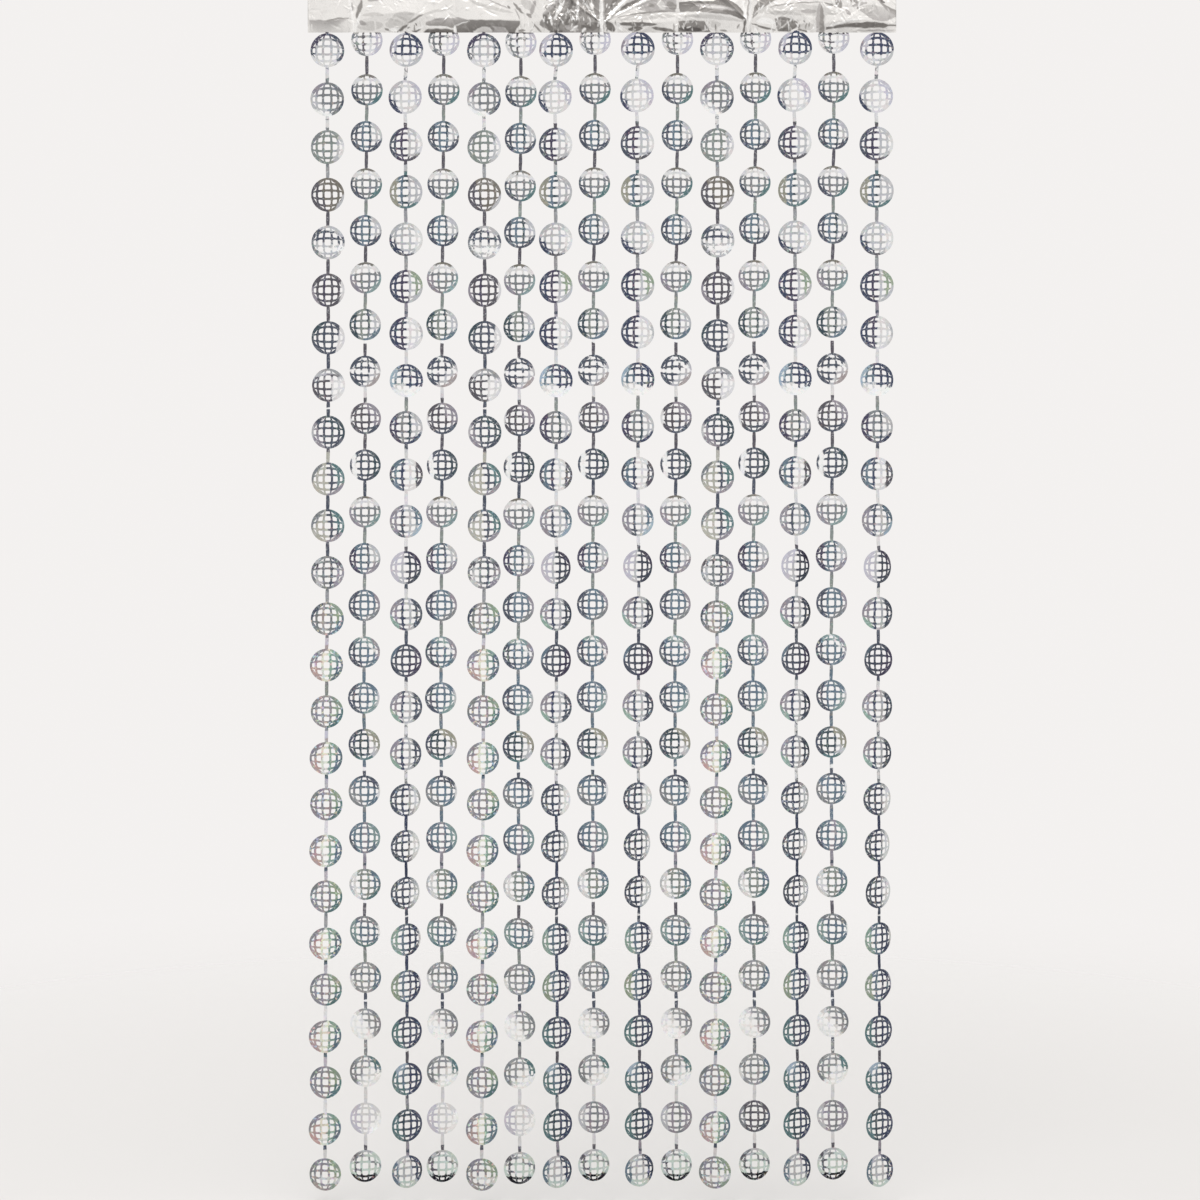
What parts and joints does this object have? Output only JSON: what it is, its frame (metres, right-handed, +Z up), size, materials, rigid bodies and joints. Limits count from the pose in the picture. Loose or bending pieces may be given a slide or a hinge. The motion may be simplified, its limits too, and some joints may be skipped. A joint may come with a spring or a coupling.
{
  "type": "foil fringe curtain with round die-cut discs",
  "caption": "Hanging party curtain of die-cut silver holographic foil: a crinkled heading band with chains of round mirror-ball discs on narrow links below it.",
  "frame": {"origin": "middle of the heading's top edge, in the plane between the two layers of strands", "axes": "+Z up, +X to the viewer's right along the heading, the seen face looks towards -Y"},
  "size_m": [1, 0.0319, 2.0279],
  "materials": {
    "heading_foil": "metallised silver film, mirror gloss, crinkled with packing folds",
    "holographic_foil": "metallised holographic silver film, mirror gloss with rainbow colour shift"
  },
  "bodies": {
    "root": {"heading": "heading_foil", "front_strands": "holographic_foil", "rear_strands": "holographic_foil"}
  },
  "joints": []
}
